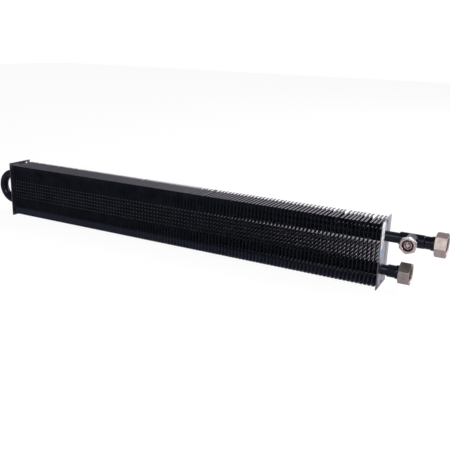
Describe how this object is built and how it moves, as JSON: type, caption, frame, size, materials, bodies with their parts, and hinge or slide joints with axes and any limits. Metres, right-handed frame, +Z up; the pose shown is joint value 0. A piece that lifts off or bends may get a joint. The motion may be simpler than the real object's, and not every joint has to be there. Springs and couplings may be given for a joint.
{
  "type": "trench convector heater",
  "caption": "Long finned heat-exchanger block on upright end plates, with flow and return tubes, a return bend, loose hexagon union nuts and a key-operated air vent.",
  "frame": {"origin": "middle of the foot edge of the connection end plate, at half its thickness and depth", "axes": "+X along the tubes towards the pipe connections, +Y the depth away from the air vent, +Z up the plates"},
  "size_m": [0.8351, 0.0546, 0.1],
  "materials": {
    "plate_coat": "very dark blue-grey semi-gloss coat on sheet steel, which mirrors a pale lavender-grey at a slant",
    "fin_coat": "black coated aluminium sheet",
    "pipe_coat": "black semi-gloss coat on copper and brass",
    "dull_nickel": "dull nickel plate on brass",
    "bright_nickel": "bright nickel plate on brass",
    "spring_steel": "bare spring steel",
    "gasket_fibre": "matt brown fibre",
    "seal_rubber": "matt black rubber",
    "label_paper": "smooth blank label with a pale blue foot"
  },
  "bodies": {
    "block": {"end_plate_connection": "plate_coat", "end_plate_bend": "plate_coat", "fin_pack_1": "fin_coat", "fin_pack_2": "fin_coat", "fin_pack_3": "fin_coat", "fin_pack_4": "fin_coat", "fin_pack_5": "fin_coat", "flow_tube": "pipe_coat", "return_tube": "pipe_coat", "return_bend": "pipe_coat", "vent_tee": "pipe_coat", "flow_tail": "pipe_coat", "return_tail": "pipe_coat", "flow_nut_ring": "spring_steel", "return_nut_ring": "spring_steel", "flow_gasket": "gasket_fibre", "return_gasket": "gasket_fibre", "vent_seal_ring": "seal_rubber", "vent_body": "bright_nickel", "vent_sleeve": "bright_nickel", "label": "label_paper"},
    "flow_nut": {"flow_union_nut": "dull_nickel"},
    "return_nut": {"return_union_nut": "dull_nickel"},
    "vent_pad": {"vent_seat_pad": "seal_rubber"},
    "vent_spindle": {"vent_screw": "bright_nickel"}
  },
  "joints": [
    {"name": "flow_nut_spin", "type": "hinge", "parent": "block", "child": "flow_nut", "pos_m": [0.0765, 0, 0.074], "axis": [1, 0, 0], "continuous": true},
    {"name": "return_nut_spin", "type": "hinge", "parent": "block", "child": "return_nut", "pos_m": [0.0335, 0, 0.024], "axis": [1, 0, 0], "continuous": true},
    {"name": "vent_lift", "type": "slide", "parent": "block", "child": "vent_pad", "axis": [0, -1, 0], "range_m": [0, 0.0016]},
    {"name": "vent_turn", "type": "hinge", "parent": "vent_pad", "child": "vent_spindle", "pos_m": [0.03725, -0.022, 0.074], "axis": [0, -1, 0], "range_deg": [0, 720]}
  ],
  "couplings": [
    {"joint": "vent_turn", "follows": "vent_lift", "rad_per_m": 7854}
  ]
}
